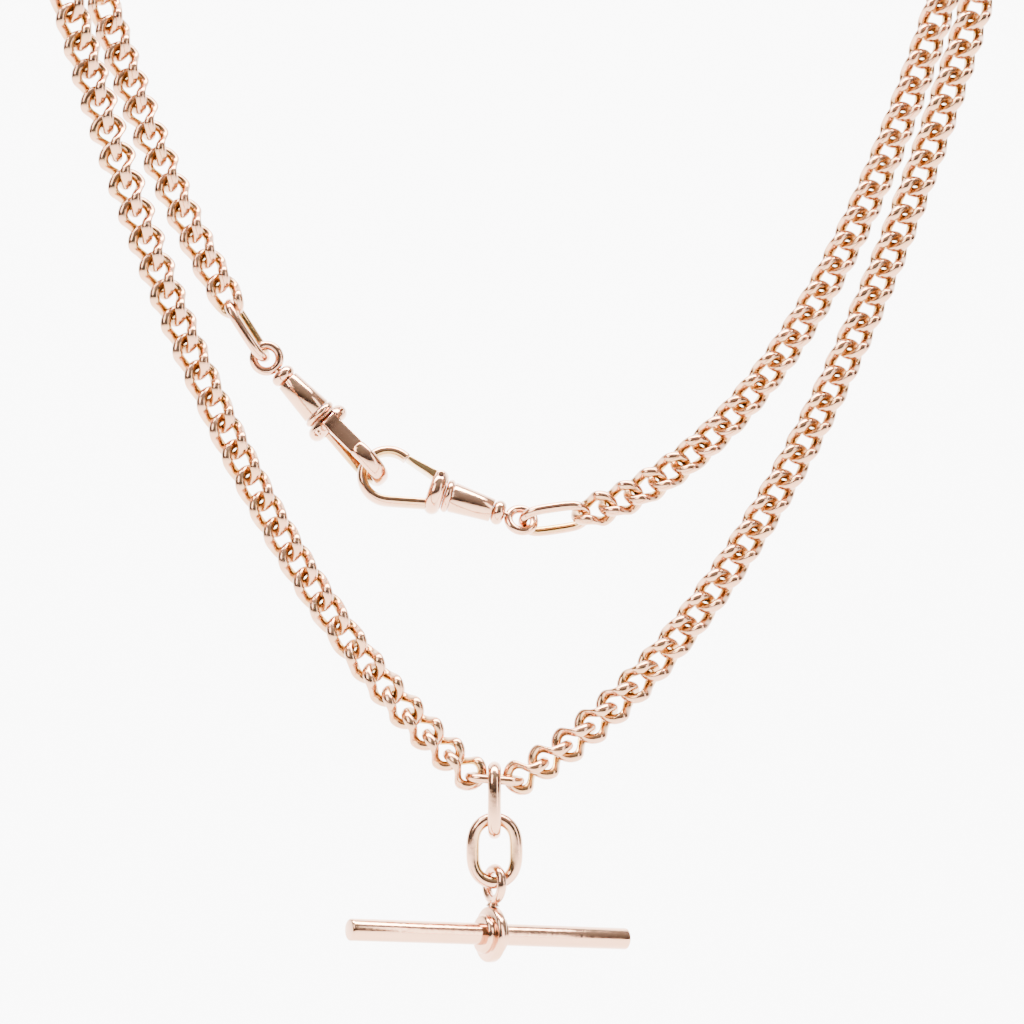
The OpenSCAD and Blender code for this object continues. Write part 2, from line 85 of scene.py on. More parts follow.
pegTurn = pitch / 2 / math.sin(math.pi / 2 / hang["pegLinks"])
pull = hang["pull"]
sLeft, sRight = pull * tand(hang["leftSlope"]), pull * tand(hang["rightSlope"])
slopeLeft = math.atan((sLeft + hang["lowerLeft"] * pitch) / pull)
slopeRight = math.atan((sRight + hang["lowerRight"] * pitch) / pull)
upLeft = Vector((-math.cos(slopeLeft), 0, math.sin(slopeLeft)))
upRight = Vector((math.cos(slopeRight), 0, math.sin(slopeRight)))
inLeft = Vector((math.sin(slopeLeft), 0, math.cos(slopeLeft)))
inRight = Vector((-math.sin(slopeRight), 0, math.cos(slopeRight)))
leftPeg = Vector((0, 0, 0))
riseLeft = hangPoint(pull, sLeft + hang["lowerLeft"] * pitch, sLeft, -1)
riseRight = hangPoint(pull, sRight + hang["lowerRight"] * pitch, sRight)
center = leftPeg - hang["shift"] / 2 * inLeft + pegTurn * front - riseLeft + alongMiddle
rightPeg = center + alongMiddle + riseRight + hang["shift"] / 2 * inRight - pegTurn * front
lowerLinks = hang["lowerLeft"] + 1 + hang["lowerRight"]


def lowerPoint(i):  # crossing points of the front strand
    n = hang["lowerLeft"]
    if i <= n:
        return center - alongMiddle + hangPoint(pull, sLeft + (n - i) * pitch, sLeft, -1)
    return center + alongMiddle + hangPoint(pull, sRight + (i - 1 - n) * pitch, sRight)


upperStart = leftPeg + hang["shift"] / 2 * inLeft - pegTurn * front
upperEnd = rightPeg + hang["shift"] / 2 * inRight - pegTurn * front
span, rise = upperEnd.x - upperStart.x, upperEnd.z - upperStart.z
jumpEnd = (jump["length"] - jump["wire"]) / 2
jumpOut = jumpEnd - (jump["wire"] + curb["wire"]) / 4 - curb["play"] / 2
jumpIn = jumpEnd - (jump["wire"] + clip["eyeWire"]) / 4 - curb["play"] / 2
eyeOut = clip["eyeRadius"] - (jump["wire"] + clip["eyeWire"]) / 4 - curb["play"] / 2
clipSpan = eyeOut + clip["length"] - clip["hookThick"] - clip["play"] / 2
jumpSpan = jumpOut + jumpIn


def solveSpread(k, low, high):  # u where sinh(u) / u = k
    for _ in range(40):
        u = (low + high) / 2
        low, high = (u, high) if math.sinh(u) / u < k else (low, u)
    return (low + high) / 2


def curveFor(length):
    return span / 2 / solveSpread(math.sqrt(length * length - rise * rise) / span, 0.01, 6)


def startS(a, length):
    return -a * math.sinh((span / 2 - a * math.atanh(rise / length)) / a)


def upperStops(a, s0):
    found = [s0 + hang["upperLeft"] * pitch]
    for chord in (jumpSpan, clipSpan, clipSpan, jumpSpan):
        s = found[-1] + chord / 2
        found.append(found[-1] + chord + chord ** 3 / 24 / ((a * a + s * s) / a) ** 2)
    return found + [found[-1] + hang["upperRight"] * pitch]


upperLength = (hang["upperLeft"] + hang["upperRight"]) * pitch + 2 * (jumpSpan + clipSpan)
for _ in range(4):
    upperPull = curveFor(upperLength)
    upperS = startS(upperPull, upperLength)
    upperLength = upperStops(upperPull, upperS)[5] - upperS
upperPull = curveFor(upperLength)
upperS = startS(upperPull, upperLength)
stops = upperStops(upperPull, upperS)


def upperAt(s):
    return upperStart + hangPoint(upperPull, s, upperS)


def pegPoint(peg, up, inner, k):
    t = math.pi * k / hang["pegLinks"]
    ring = math.cos(t) * front + math.sin(t) * up
    return peg + pegTurn * ring + hang["shift"] * (k / hang["pegLinks"] - 0.5) * inner


def pegFace(up, k):
    t = math.pi * (k + 0.5) / hang["pegLinks"]
    return math.cos(t) * front + math.sin(t) * up


def lookup(x, table):
    for (x0, y0), (x1, y1) in zip(table, table[1:]):
        if x <= x1:
            return y0 + (y1 - y0) * (x - x0) / (x1 - x0)
    return table[-1][1]


crossing = 90 - curb["roll"]
lowerRolls = [(0, 0), (5, 35), (15, 0), (hang["lowerLeft"] - 8, 0), (hang["lowerLeft"] - 1, -crossing),
              (hang["lowerLeft"] + 1, crossing), (hang["lowerLeft"] + 8, 0), (lowerLinks - 1, 0)]
upperLeftRolls = [(0, 0), (4, 30), (hang["upperLeft"], 0)]
upperRightRolls = [(0, 0), (hang["upperRight"] - 6, 0), (hang["upperRight"] - 1, -20)]
rolls = {"leftPeg": 0, "rightPeg": 0, "firstJump": 100, "secondJump": 50}


def placed(origin, along, face, roll=0):
    x = along.normalized()
    y = face.cross(x).normalized()
    z = x.cross(y)
    turn = Matrix((x, y, z)).transposed().to_4x4()
    return Matrix.Translation(origin) @ turn @ Matrix.Rotation(math.radians(roll), 4, "X")


def between(p, q, face, roll):
    return placed((p + q) / 2, q - p, face, roll)


def share(g, groups, count):
    return range(math.floor(g * count / groups), math.floor((g + 1) * count / groups))


print("hang worked out: pitch", round(pitch, 3), "right peg", [round(v, 2) for v in rightPeg])

# ---- metals ----

# each metal's deep colour serves both the random tone change and the painted recess shade on inner faces
roseGold = {"colour": (0.52, 0.275, 0.165), "deepToneAndShade": (0.46, 0.27, 0.08),
            "rough": 0.2, "wear": 0.10, "scratch": 0.10}
paleGold = {"colour": (0.58, 0.31, 0.195), "deepToneAndShade": (0.47, 0.27, 0.10),
            "rough": 0.14, "wear": 0.08, "scratch": 0.07}
yellowGold = {"colour": (0.56, 0.34, 0.15), "deepToneAndShade": (0.58, 0.36, 0.14),
              "rough": 0.17, "wear": 0.10, "scratch": 0.10}
springMetal = {"colour": (0.45, 0.38, 0.30), "deepToneAndShade": (0.25, 0.20, 0.14),
               "rough": 0.3, "wear": 0.1, "scratch": 0.1}


grain = {"cloud": 260, "cloudShare": 0.5, "stretch": (900, 5200, 2600), "slant": (0.6, 0.3, 0.9),
         "dents": 1100, "scratchShare": 0.35, "depth": 0.0002}


def wornGoldWithPaintedShade(name, look):
    mat = bpy.data.materials.new(name)
    mat.use_nodes = True
    tree = mat.node_tree
    add, link = tree.nodes.new, tree.links.new
    shader = tree.nodes["Principled BSDF"]
    shader.inputs["Metallic"].default_value = 1.0
    place = add("ShaderNodeTexCoord")
    cloud = add("ShaderNodeTexNoise")  # slow change of tone over the metal
    cloud.inputs["Scale"].default_value = grain["cloud"]
    cloud.inputs["Detail"].default_value = 4
    link(place.outputs["Object"], cloud.inputs["Vector"])
    inner = add("ShaderNodeAttribute")  # 1 on the inner faces of each bow: a painted recess shade mask that draws those faces darker and yellower
    inner.attribute_name = "inner"
    # painted shade: the inner mask is added to the random cloud tone, pushing the inner faces toward the
    # darker, yellower deep colour
    amount = add("ShaderNodeMath")
    amount.operation = "MULTIPLY_ADD"
    link(cloud.outputs["Fac"], amount.inputs[0])
    amount.inputs[1].default_value = grain["cloudShare"]
    link(inner.outputs["Fac"], amount.inputs[2])
    ramp = add("ShaderNodeValToRGB")
    ramp.color_ramp.elements[0].position = 0.2
    ramp.color_ramp.elements[0].color = (*look["colour"], 1)
    ramp.color_ramp.elements[1].position = 1.0
    ramp.color_ramp.elements[1].color = (*look["deepToneAndShade"], 1)
    link(amount.outputs[0], ramp.inputs["Fac"])
    link(ramp.outputs["Color"], shader.inputs["Base Color"])
    stretch = add("ShaderNodeMapping")
    stretch.inputs["Scale"].default_value = grain["stretch"]
    stretch.inputs["Rotation"].default_value = grain["slant"]
    link(place.outputs["Object"], stretch.inputs["Vector"])
    fine = add("ShaderNodeTexNoise")  # fine scratches, drawn out one way
    fine.inputs["Scale"].default_value = 1.0
    fine.inputs["Detail"].default_value = 3
    link(stretch.outputs["Vector"], fine.inputs["Vector"])
    rough = add("ShaderNodeMapRange")
    rough.inputs["From Min"].default_value = 0.35
    rough.inputs["From Max"].default_value = 0.75
    rough.inputs["To Min"].default_value = look["rough"] - look["wear"] / 2
    rough.inputs["To Max"].default_value = look["rough"] + look["wear"]
    link(fine.outputs["Fac"], rough.inputs["Value"])
    link(rough.outputs["Result"], shader.inputs["Roughness"])
    dents = add("ShaderNodeTexNoise")  # soft hammering from long wear
    dents.inputs["Scale"].default_value = grain["dents"]
    dents.inputs["Detail"].default_value = 2
    link(place.outputs["Object"], dents.inputs["Vector"])
    height = add("ShaderNodeMath")
    height.operation = "MULTIPLY_ADD"
    link(fine.outputs["Fac"], height.inputs[0])
    height.inputs[1].default_value = grain["scratchShare"]
    link(dents.outputs["Fac"], height.inputs[2])
    bump = add("ShaderNodeBump")
    bump.inputs["Strength"].default_value = look["scratch"]
    bump.inputs["Distance"].default_value = grain["depth"]
    link(height.outputs[0], bump.inputs["Height"])
    link(bump.outputs["Normal"], shader.inputs["Normal"])
    return mat


metals = {
    "rose_gold": wornGoldWithPaintedShade("roseGold", roseGold),
    "polished_gold": wornGoldWithPaintedShade("paleGold", paleGold),
    "yellow_gold": wornGoldWithPaintedShade("yellowGold", yellowGold),
    "spring_steel": wornGoldWithPaintedShade("springMetal", springMetal),
}
slotOf = {s["node"]: s["material_slot"] for s in frame["record"]["subparts"]}
bodyOf = {n: b for b, ns in frame["record"]["behaviour"]["bodies"].items() for n in ns}
for name, node in frame["nodes"].items():
    node.data.materials.clear()
    node.data.materials.append(metals[slotOf[name]])

# ---- shared shaping ----


def wrap(bm, name, levels=2, sharpFrom=None):
    bmesh.ops.recalc_face_normals(bm, faces=bm.faces[:])
    for face in bm.faces:
        face.smooth = True
    if sharpFrom:
        for edge in bm.edges:
            edge.smooth = edge.calc_face_angle(0) < math.radians(sharpFrom)
    bmesh.ops.transform(bm, matrix=Matrix.Scale(mm, 4), verts=bm.verts[:])
    mesh = bpy.data.meshes.new(name)
    bm.to_mesh(mesh)
    bm.free()
    piece = bpy.data.objects.new(name, mesh)
    bpy.context.scene.collection.objects.link(piece)
    if levels:
        smooth = piece.modifiers.new("smooth", "SUBSURF")
        smooth.levels = levels
        smooth.render_levels = levels
    return piece


def stand(piece, *nodes):  # the piece takes its body and metal from the CAD nodes it stands for
    piece.data.materials.append(metals[slotOf[nodes[0]]])
    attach(piece, bodyOf[nodes[0]])
    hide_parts(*nodes)
    return piece


def vertsOf(made):
    return [g for g in made if isinstance(g, bmesh.types.BMVert)]


# the inner layer holds the painted recess shade mask
def innerLayer(bm):
    return bm.verts.layers.float.get("inner") or bm.verts.layers.float.new("inner")


def centreLine(half, bow, roll, n=24):
    line = []
    for side in (0, math.pi):
        turn = Matrix.Rotation(side, 3, "Y") @ Matrix.Rotation(math.radians(roll), 3, "X")
        for k in range(n + 1):
            t = math.pi * (k / n - 0.5)
            line.append(turn @ Vector((half + bow * math.cos(t), bow * math.sin(t), 0)))
    return line


def drawIn(steps):  # smoothing draws a bow in: more in a coarse one
    return 0.25 + 0.25 * (2 + math.cos(math.pi / steps)) if steps > 4 else 0.925


def openRing(length, wire, bow, roll=0, sides=6, steps=4, swell=1.0):
    # a closed ring of wire along X: two round bows, each turned by roll, and a bar on each side
    half = (length - wire) / 2 - bow
    bm = bmesh.new()
    shrink = (2 + math.cos(2 * math.pi / sides)) / 3  # smoothing draws a section in by this much
    tighten = drawIn(steps)
    start = Matrix.Translation((half, -bow / tighten, 0)) @ Matrix.Rotation(math.pi / 2, 4, "Y")
    made = bmesh.ops.create_circle(bm, segments=sides, radius=wire / 2 * swell / shrink, matrix=start)
    ring = made["verts"] + list({e for v in made["verts"] for e in v.link_edges})
    bmesh.ops.spin(bm, geom=ring, cent=(half, 0, 0), axis=(0, 0, 1), angle=math.pi, steps=steps)
    bmesh.ops.transform(bm, matrix=Matrix.Rotation(math.radians(roll), 4, "X"), verts=bm.verts[:])
    twin = bmesh.ops.duplicate(bm, geom=bm.verts[:] + bm.edges[:] + bm.faces[:])["geom"]
    bmesh.ops.transform(bm, matrix=Matrix.Rotation(math.pi, 4, "Y"), verts=vertsOf(twin))
    rims = [e for e in bm.edges if e.is_boundary]
    for side in (-1, 1):
        loops = [e for e in rims if side * (e.verts[0].co.y + e.verts[1].co.y) > 0]
        bridged = bmesh.ops.bridge_loops(bm, edges=loops)
        bmesh.ops.subdivide_edges(bm, edges=bridged["edges"], cuts=1)
    line = centreLine(half, bow, roll)
    # painted shade mask: inner is 1 where the wire faces the middle of the ring and falls to 0 on the
    # outside
    layer = innerLayer(bm)
    for v in bm.verts:
        near = min(line, key=lambda p: (p - v.co).length)
        if abs(v.co.x) < half * 0.6:
            near = Vector((0, math.copysign(bow * math.cos(math.radians(roll)), v.co.y), 0))
        v[layer] = max(0, (v.co - near).normalized().dot(-near.normalized()))
    return bm


def asMesh(bm, name):
    mesh = bpy.data.meshes.new(name)
    bm.to_mesh(mesh)
    bm.free()
    return mesh


def gather(parts):  # parts are (mesh, matrix) pairs, set into one piece
    bm = bmesh.new()
    innerLayer(bm)
    for mesh, matrix in parts:
        before = len(bm.verts)
        bm.from_mesh(mesh)
        bm.verts.ensure_lookup_table()
        bmesh.ops.transform(bm, matrix=matrix, verts=bm.verts[before:])
    return bm


def turned(profile, steps=40, closed=False):
    # (x, radius) points spun about X; a radius of 0 closes an end
    bm = bmesh.new()
    verts = [bm.verts.new((x, r, 0)) for x, r in profile]
    edges = [bm.edges.new(pair) for pair in zip(verts, verts[1:])]
    if closed:
        edges.append(bm.edges.new((verts[-1], verts[0])))
    bmesh.ops.spin(bm, geom=verts + edges, cent=(0, 0, 0), axis=(1, 0, 0), angle=2 * math.pi,
                   steps=steps, use_merge=True)
    bmesh.ops.remove_doubles(bm, verts=bm.verts[:], dist=0.0005)
    innerLayer(bm)
    return bm


# ---- links ----

curbLink = {"wire": 1.3, "sides": 6, "steps": 4, "pegScale": 0.9}
link = asMesh(openRing(curb["length"], curb["wire"], curb["bow"], curb["roll"],
                       sides=curbLink["sides"], steps=curbLink["steps"],
                       swell=curbLink["wire"] / curb["wire"]), "curbLink")
plainLink = asMesh(openRing(middleLength, middle["wire"], middleBars / 2, sides=6, steps=6), "middleLink")

for g in range(17):
    parts = []
    for i in share(g, 17, lowerLinks):
        if i == hang["lowerLeft"]:
            parts.append((plainLink, between(lowerPoint(i), lowerPoint(i + 1), front, 90)))
        else:
            roll = lookup(i, lowerRolls)
            parts.append((link, between(lowerPoint(i), lowerPoint(i + 1), front, roll)))
    node = "lower_%02d" % (g + 1)
    stand(wrap(gather(parts), "links_" + node), node)
for g in range(4):
    parts = [(link, between(upperAt(upperS + i * pitch), upperAt(upperS + (i + 1) * pitch), front,
                            lookup(i, upperLeftRolls))) for i in share(g, 4, hang["upperLeft"])]
    node = "upper_left_%d" % (g + 1)
    stand(wrap(gather(parts), "links_" + node), node)
for g in range(6):
    parts = [(link, between(upperAt(stops[5] - (i + 1) * pitch), upperAt(stops[5] - i * pitch), front,
                            lookup(i, upperRightRolls))) for i in share(g, 6, hang["upperRight"])]
    node = "upper_right_%d" % (g + 1)
    stand(wrap(gather(parts), "links_" + node), node)
for node, peg, up, inner, roll in (("over_left_peg", leftPeg, upLeft, inLeft, rolls["leftPeg"]),
                                   ("over_right_peg", rightPeg, upRight, inRight, rolls["rightPeg"])):
    slimmer = Matrix.Scale(curbLink["pegScale"], 4)
    parts = [(link, between(pegPoint(peg, up, inner, k), pegPoint(peg, up, inner, k + 1),
                            pegFace(up, k), roll) @ slimmer) for k in range(hang["pegLinks"])]
    stand(wrap(gather(parts), "links_" + node), node)
print("curb links made")

# ---- rings ----


ringShape = {"sides": 8, "steps": 6, "jumpSwell": 1.12}


def ringPiece(node, size, matrix, swell=1.0):
    bm = openRing(size["length"], size["wire"], (size["width"] - size["wire"]) / 2,
                  sides=ringShape["sides"], steps=ringShape["steps"], swell=swell)
    bmesh.ops.transform(bm, matrix=matrix, verts=bm.verts[:])
    stand(wrap(bm, "ring_" + node), node)


barRingY = center.y - middleBars / 2
dropTop = center.z + dropSeat
dropLow = dropTop - (drop["length"] - drop["wire"])
ovalTop = dropLow + (drop["wire"] + oval["wire"]) / 2 + curb["play"] / 2
ovalLow = ovalTop - (oval["length"] - oval["wire"])


def down(top, low, face):
    return between(Vector((center.x, barRingY, top)), Vector((center.x, barRingY, low)), face, 0)


ringPiece("drop_ring", drop, down(dropTop, dropLow, Vector((1, 0, 0))))
ringPiece("oval_link", oval, down(ovalTop, ovalLow, front))
points = [upperAt(s) for s in stops]
jumpShift = (jumpOut - jumpIn) / 2
ringPiece("first_jump_link", jump, between(points[0], points[1], front, rolls["firstJump"])
          @ Matrix.Translation((jumpShift, 0, 0)), swell=ringShape["jumpSwell"])
ringPiece("second_jump_link", jump, between(points[3], points[4], front, rolls["secondJump"])
          @ Matrix.Translation((-jumpShift, 0, 0)), swell=ringShape["jumpSwell"])
print("rings made")

# ---- T-bar ----

barShape = {"short": 0.08, "edge": 0.25, "rim": 0.55, "step": 2.24, "stepEnd": 1.35, "bore": 1.27,
            "neckWide": 0.8, "neckSlim": 0.62}
yaw, tilt = math.radians(bar["yaw"]), math.radians(bar["tilt"])
barAxis = Vector((math.cos(yaw) * math.cos(tilt), math.sin(yaw) * math.cos(tilt), -math.sin(tilt)))
barUp = (Vector((0, 0, 1)) - barAxis.z * barAxis).normalized()
eyeTop = ovalLow + (oval["wire"] + bar["eyeWire"]) / 2 + curb["play"]
eyeRise = bar["collar"] / 2 + bar["eyeRadius"] + bar["eyeWire"] / 2 + bar["neck"]
barCenter = Vector((center.x, barRingY, eyeTop - bar["eyeRadius"])) - eyeRise * barUp
onBar = placed(barCenter, barAxis, barUp)


def bothWays(half):  # a profile given from the middle outwards, and its mirror image
    return [(-x, r) for x, r in reversed(half)] + [p for p in half if p[0] > 0]


def roundTo(x, r, edge, n=4):  # a rounded corner at an end face
    angles = [k * math.pi / 2 / n for k in range(n + 1)]
    return [(x - edge + edge * math.sin(a), r - edge + edge * math.cos(a)) for a in angles]


def wireLoop(radius, wire, sides=16):  # the profile of a plain round eye
    angles = [2 * math.pi * k / sides for k in range(sides)]
    return [(wire / 2 * math.cos(a), radius + wire / 2 * math.sin(a)) for a in angles]


def setPiece(bm, name, matrix, node, levels=0, sharp=40):
    bmesh.ops.transform(bm, matrix=matrix, verts=bm.verts[:])
    return stand(wrap(bm, name, levels, sharp if not levels else None), node)


barHalf = bar["length"] / 2 - barShape["short"]
rodEnd = roundTo(barHalf, bar["thick"] / 2, barShape["edge"])
setPiece(turned(bothWays([(0, bar["thick"] / 2), (bar["length"] / 4, bar["thick"] / 2)] + rodEnd
                         + [(barHalf, 0)]), 64), "barRod", onBar, "bar_rod", sharp=60)
rimR, stepR, stepX = bar["collar"] / 2, barShape["step"], barShape["stepEnd"]
collar = bothWays([(0, rimR)] + roundTo(barShape["rim"], rimR, 0.3)
                  + [(barShape["rim"], stepR + 0.1), (barShape["rim"] + 0.04, stepR)]
                  + roundTo(stepX, stepR, 0.35) + [(stepX, barShape["bore"])])
setPiece(turned(collar, 64, closed=True), "barCollar", onBar, "bar_collar", sharp=50)
eyeLoop = turned(wireLoop(bar["eyeRadius"], bar["eyeWire"]), 40, closed=True)
bmesh.ops.translate(eyeLoop, vec=(0, 0, eyeRise), verts=eyeLoop.verts[:])
neckFrom, neckTo = bar["collar"] / 2 + 0.02, eyeRise - bar["eyeRadius"]
wide, slim = barShape["neckWide"], barShape["neckSlim"]
neck = turned([(neckFrom, 0), (neckFrom, wide), (neckFrom + 0.1, wide - 0.04), (neckFrom + 0.3, slim),
               (neckTo - 0.25, slim), (neckTo - 0.05, wide), (neckTo, 0)], 32)
bmesh.ops.transform(neck, matrix=Matrix.Rotation(-math.pi / 2, 4, "Y"), verts=neck.verts[:])
both = gather([(asMesh(eyeLoop, "eyeLoop"), Matrix()), (asMesh(neck, "neck"), Matrix())])
setPiece(both, "barEye", onBar, "bar_eye", sharp=60)
print("bar made")

# ---- clips: drawn along X from the middle of the eye, the loop in XY, the lever at +Y ----

clipShape = {"stem": 0.9, "capLong": 1.5, "beadWide": 2.0, "ringWide": 0.9, "gap": 0.1, "set": 0.02,
             "tipTurn": 118, "armTurn": -105, "knuckle": 1.5, "rivet": 0.8, "leverTip": 0.6,
             "rivetHead": 0.5, "eyeSwell": 1.12, "capShare": 0.43, "thinShare": 0.4, "thickShare": 0.525,
             "loopShare": 0.4, "loopRoom": 2.1, "pivotOut": 0.1, "pivotShare": 0.62}
capX = clip["eyeRadius"] + clip["eyeWire"] / 2 + clipShape["gap"]
barrelX = capX + clipShape["capLong"]
hookOut = clip["hookWidth"] / 2
hookX = clip["length"] - hookOut
beadX = hookX - clipShape["loopShare"] * clip["length"] + clipShape["loopRoom"]
ringX = beadX - clipShape["beadWide"] / 2 - clipShape["ringWide"] / 2
barrelEnd = ringX - clipShape["ringWide"] / 2
pivot = Vector((beadX + clipShape["pivotOut"], clip["bead"] / 2 * clipShape["pivotShare"], 0))
hookMid = hookOut - clip["hookThick"] / 2


def turnPoint(r, t):
    return Vector((hookX + r * math.cos(math.radians(t)), r * math.sin(math.radians(t)), 0))


def beadProfile(x, half, bottom, top, n=6):  # a half-round bead round the axis, its bore at bottom
    arc = [(x - half * math.cos(math.pi * k / 2 / n), top - half + half * math.sin(math.pi * k / 2 / n))
           for k in range(n + 1)]
    mirrored = [(2 * x - a, r) for a, r in reversed(arc[:-1])]
    return [(x - half, bottom)] + arc + mirrored + [(x + half, bottom)]


def hookStrap():
    # the strap's section is spun round the bow and drawn straight along the arm
    t, b = clip["hookThick"] / 2, clip["hookBroad"] / 2
    section = [(t, 0), (0.9 * t, 0.55 * b), (0.45 * t, 0.9 * b), (-0.2 * t, b), (-0.8 * t, 0.92 * b),
               (-t, 0.6 * b), (-t, 0), (-t, -0.6 * b), (-0.8 * t, -0.92 * b), (-0.2 * t, -b),
               (0.45 * t, -0.9 * b), (0.9 * t, -0.55 * b)]
    bm = bmesh.new()
    start = math.radians(clipShape["armTurn"])
    out = Vector((math.cos(start), math.sin(start), 0))
    base = turnPoint(hookMid, clipShape["armTurn"])
    ring = [bm.verts.new(base + u * 1.12 * out + Vector((0, 0, w * 1.12))) for u, w in section]
    edges = [bm.edges.new((a, b)) for a, b in zip(ring, ring[1:] + ring[:1])]
    armDir = Vector((math.cos(start - math.pi / 2), math.sin(start - math.pi / 2), 0))
    armLong = (beadX - base.x) / armDir.x
    loop = edges
    for step in (0.35, 0.35, 0.28, 0.06):
        made = bmesh.ops.extrude_edge_only(bm, edges=loop)["geom"]
        moved = vertsOf(made)
        bmesh.ops.translate(bm, vec=armDir * armLong * step, verts=moved)
        loop = [g for g in made if isinstance(g, bmesh.types.BMEdge)
                and all(v in moved for v in g.verts)]
    bmesh.ops.contextual_create(bm, geom=loop)
    bmesh.ops.spin(bm, geom=ring + edges, cent=(hookX, 0, 0), axis=(0, 0, 1), steps=18,
                   angle=math.radians(clipShape["tipTurn"] - clipShape["armTurn"]))
    rim = [e for e in bm.edges if e.is_boundary]
    cap = bmesh.ops.contextual_create(bm, geom=rim)["faces"]
    bmesh.ops.inset_region(bm, faces=cap, thickness=0.12, depth=0)
    # painted shade mask: inner is 1 on the inside of the hook's bow and 0.3 along the arm
    layer = innerLayer(bm)
    for v in bm.verts:
        away = (v.co - Vector((hookX, 0, v.co.z))).length
        v[layer] = max(0, min(1, (hookMid - away) / t)) if v.co.x > hookX - 1 else 0.3
    return bm


def leverBar():
    tip = turnPoint(hookMid, clipShape["tipTurn"])
    along = (tip - pivot).normalized()
    side = Vector((-along.y, along.x, 0))
    endDir = turnPoint(1, clipShape["tipTurn"]) - Vector((hookX, 0, 0))
    end = pivot + ((tip - pivot).length - 0.08) * along
    wide, slim = clip["lever"] / 2, clipShape["leverTip"] / 2
    outline = [end + slim * endDir, end - slim * endDir, pivot + 1.3 * along - wide * side]
    knuckle = clipShape["knuckle"] / 2
    base = math.atan2(along.y, along.x)
    outline += [pivot + knuckle * Vector((math.cos(base + a), math.sin(base + a), 0))
                for a in (math.radians(d) for d in range(-50, -311, -26))]
    outline += [pivot + 1.3 * along + wide * side]
    bm = bmesh.new()
    half = clip["hookBroad"] / 2
    face = bm.faces.new([bm.verts.new(p - Vector((0, 0, half))) for p in outline])
    made = bmesh.ops.extrude_face_region(bm, geom=[face])["geom"]
    bmesh.ops.translate(bm, vec=(0, 0, 2 * half), verts=vertsOf(made))
    rims = [e for e in bm.edges if abs(e.verts[0].co.z - e.verts[1].co.z) < 0.01]
    bmesh.ops.bevel(bm, geom=rims, affect="EDGES", offset=0.13, segments=3, profile=0.5, material=-1)
    innerLayer(bm)
    return bm


def rivetPin():
    high = math.sqrt((clip["bead"] / 2) ** 2 - pivot.y ** 2) - 0.1
    head, shank = clipShape["rivetHead"], clipShape["rivet"] / 2
    half = [(0, shank), (high, shank), (high, head), (high + 0.08, head - 0.06),
            (high + 0.14, head - 0.22), (high + 0.16, 0)]
    bm = turned(bothWays(half), 24)
    turn = Matrix.Translation(pivot) @ Matrix.Rotation(-math.pi / 2, 4, "Y")
    bmesh.ops.transform(bm, matrix=turn, verts=bm.verts[:])
    return bm


def swivelEye():
    loop = turned(wireLoop(clip["eyeRadius"], clip["eyeWire"] * clipShape["eyeSwell"]), 36, closed=True)
    bmesh.ops.transform(loop, matrix=Matrix.Rotation(math.pi / 2, 4, "Y"), verts=loop.verts[:])
    r = clipShape["stem"] / 2
    low, high = clip["eyeRadius"], barrelX + 1
    stem = turned([(low, 0), (low, r), (high, r), (high, 0)], 24)
    return gather([(asMesh(loop, "loop"), Matrix()), (asMesh(stem, "stem"), Matrix())])


def barrelTube():
    a, b = barrelX + clipShape["set"], barrelEnd - clipShape["set"]
    thin, thick = clip["barrel"] * clipShape["thinShare"], clip["barrel"] * clipShape["thickShare"]
    return turned([(a, 0.6), (a, thin - 0.08), (a + 0.08, thin), (b - 0.1, thick - 0.01),
                   (b, thick - 0.09), (b, 0.6)], 48, closed=True)


for which, stop, turn, eyeTurn in (("first", 1, clip["turn"], 0),
                                   ("second", 3, 180 + clip["secondTurn"], clip["secondEyeTurn"])):
    p = points[stop]
    v = (points[2] - p).normalized()
    onEye = placed(p + eyeOut * v, v, front)
    onClip = onEye @ Matrix.Rotation(math.radians(turn), 4, "X")
    half = clipShape["capLong"] / 2
    turnedEye = onEye @ Matrix.Rotation(math.radians(eyeTurn), 4, "X")
    setPiece(swivelEye(), which + "Eye", turnedEye, which + "_swivel_eye", sharp=60)
    cap = beadProfile(capX + half, half, 0.55, clip["barrel"] * clipShape["capShare"])
    setPiece(turned(cap, 40, closed=True), which + "Cap", onClip, which + "_cap", sharp=50)
    setPiece(barrelTube(), which + "Barrel", onClip, which + "_barrel", sharp=50)
    half = clipShape["ringWide"] / 2 - clipShape["set"]
    setPiece(turned(beadProfile(ringX, half, 0.6, clip["barrel"] / 2 - 0.15 + half), 48, closed=True),
             which + "Ring", onClip, which + "_ring", sharp=50)
    setPiece(hookStrap(), which + "Hook", onClip, which + "_hook", levels=2)
    setPiece(leverBar(), which + "Lever", onClip, which + "_lever", sharp=40)
    setPiece(rivetPin(), which + "Rivet", onClip, which + "_rivet", sharp=40)
print("clips made")

# ---- stage, light and camera ----

view = {"distance": 0.4, "halfField": 0.0599, "x": 0.0502, "z": -0.0609}
camData = bpy.data.cameras.new("camera")
cam = bpy.data.objects.new("camera", camData)
bpy.context.scene.collection.objects.link(cam)
cam.location = (view["x"], -view["distance"], view["z"])
cam.rotation_euler = (math.pi / 2, 0, 0)
camData.angle = 2 * math.atan(view["halfField"] / view["distance"])
camData.clip_start = 0.01
bpy.context.scene.camera = cam

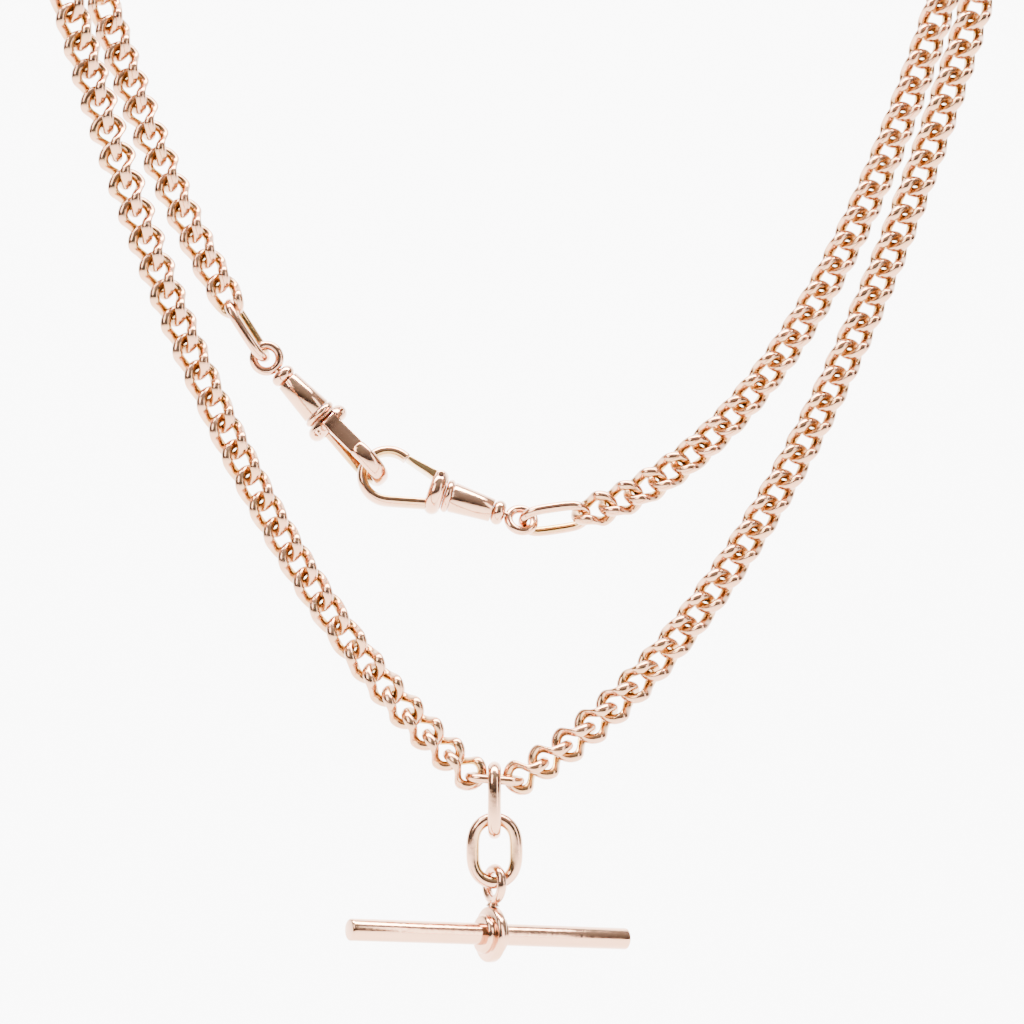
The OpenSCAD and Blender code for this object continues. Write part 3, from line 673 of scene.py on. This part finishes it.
studio = {"floor": -0.16, "near": -1.2, "back": 0.75, "high": 1.8,
          "width": 4.0, "middle": 0.05, "bend": 0.6}
bm = bmesh.new()
bend, floor, back = studio["bend"], studio["floor"], studio["back"]
angles = [k * math.pi / 48 for k in range(25)]
arc = [(back - bend + bend * math.sin(a), floor + bend - bend * math.cos(a)) for a in angles]
side = studio["middle"] - studio["width"] / 2
line = [bm.verts.new((side, y, z)) for y, z in [(studio["near"], floor)] + arc + [(back, studio["high"])]]
for pair in zip(line, line[1:]):
    bm.edges.new(pair)
wall = bmesh.ops.extrude_edge_only(bm, edges=bm.edges[:])["geom"]
bmesh.ops.translate(bm, vec=(studio["width"], 0, 0), verts=vertsOf(wall))
for face in bm.faces:
    face.smooth = True
mesh = bpy.data.meshes.new("sweep")
bm.to_mesh(mesh)
bm.free()
sweep = bpy.data.objects.new("sweep", mesh)
bpy.context.scene.collection.objects.link(sweep)
paper = bpy.data.materials.new("paper")
paper.use_nodes = True
paper.node_tree.nodes["Principled BSDF"].inputs["Base Color"].default_value = (0.93, 0.93, 0.93, 1)
paper.node_tree.nodes["Principled BSDF"].inputs["Roughness"].default_value = 0.9
mesh.materials.append(paper)


def softbox(name, place, target, size, watts):
    data = bpy.data.lights.new(name, "AREA")
    data.shape = "RECTANGLE"
    data.size, data.size_y = size
    data.energy = watts
    lamp = bpy.data.objects.new(name, data)
    bpy.context.scene.collection.objects.link(lamp)
    lamp.location = place
    lamp.rotation_euler = (Vector(target) - Vector(place)).to_track_quat("-Z", "Y").to_euler()


middleOf = (0.05, 0, -0.06)
softbox("key", (-0.45, -0.5, 0.35), middleOf, (0.25, 0.45), 6)
softbox("fill", (0.6, -0.4, 0.05), middleOf, (0.12, 0.6), 2.5)
softbox("top", (0.05, 0.05, 0.7), middleOf, (0.6, 0.35), 7)
softbox("wallLight", (0.05, 0.0, 0.9), (0.05, 0.7, -0.05), (1.6, 0.4), 120)

world = bpy.data.worlds.new("studio")
bpy.context.scene.world = world
world.use_nodes = True
nodes = world.node_tree.nodes
links = world.node_tree.links
coord = nodes.new("ShaderNodeTexCoord")
split = nodes.new("ShaderNodeSeparateXYZ")
ramp = nodes.new("ShaderNodeValToRGB")
ramp.color_ramp.elements[0].position = 0.22
ramp.color_ramp.elements[0].color = (0.6, 0.58, 0.56, 1)
ramp.color_ramp.elements[1].position = 0.86
ramp.color_ramp.elements[1].color = (1, 1, 1, 1)
dark = ramp.color_ramp.elements.new(0.5)
dark.color = (0.05, 0.035, 0.03, 1)
scale = nodes.new("ShaderNodeMath")
scale.operation = "MULTIPLY_ADD"
scale.inputs[1].default_value = 0.5
scale.inputs[2].default_value = 0.5
links.new(coord.outputs["Generated"], split.inputs["Vector"])
links.new(split.outputs["Z"], scale.inputs[0])
links.new(scale.outputs[0], ramp.inputs["Fac"])
links.new(ramp.outputs["Color"], nodes["Background"].inputs["Color"])
nodes["Background"].inputs["Strength"].default_value = 0.7
print("studio set")
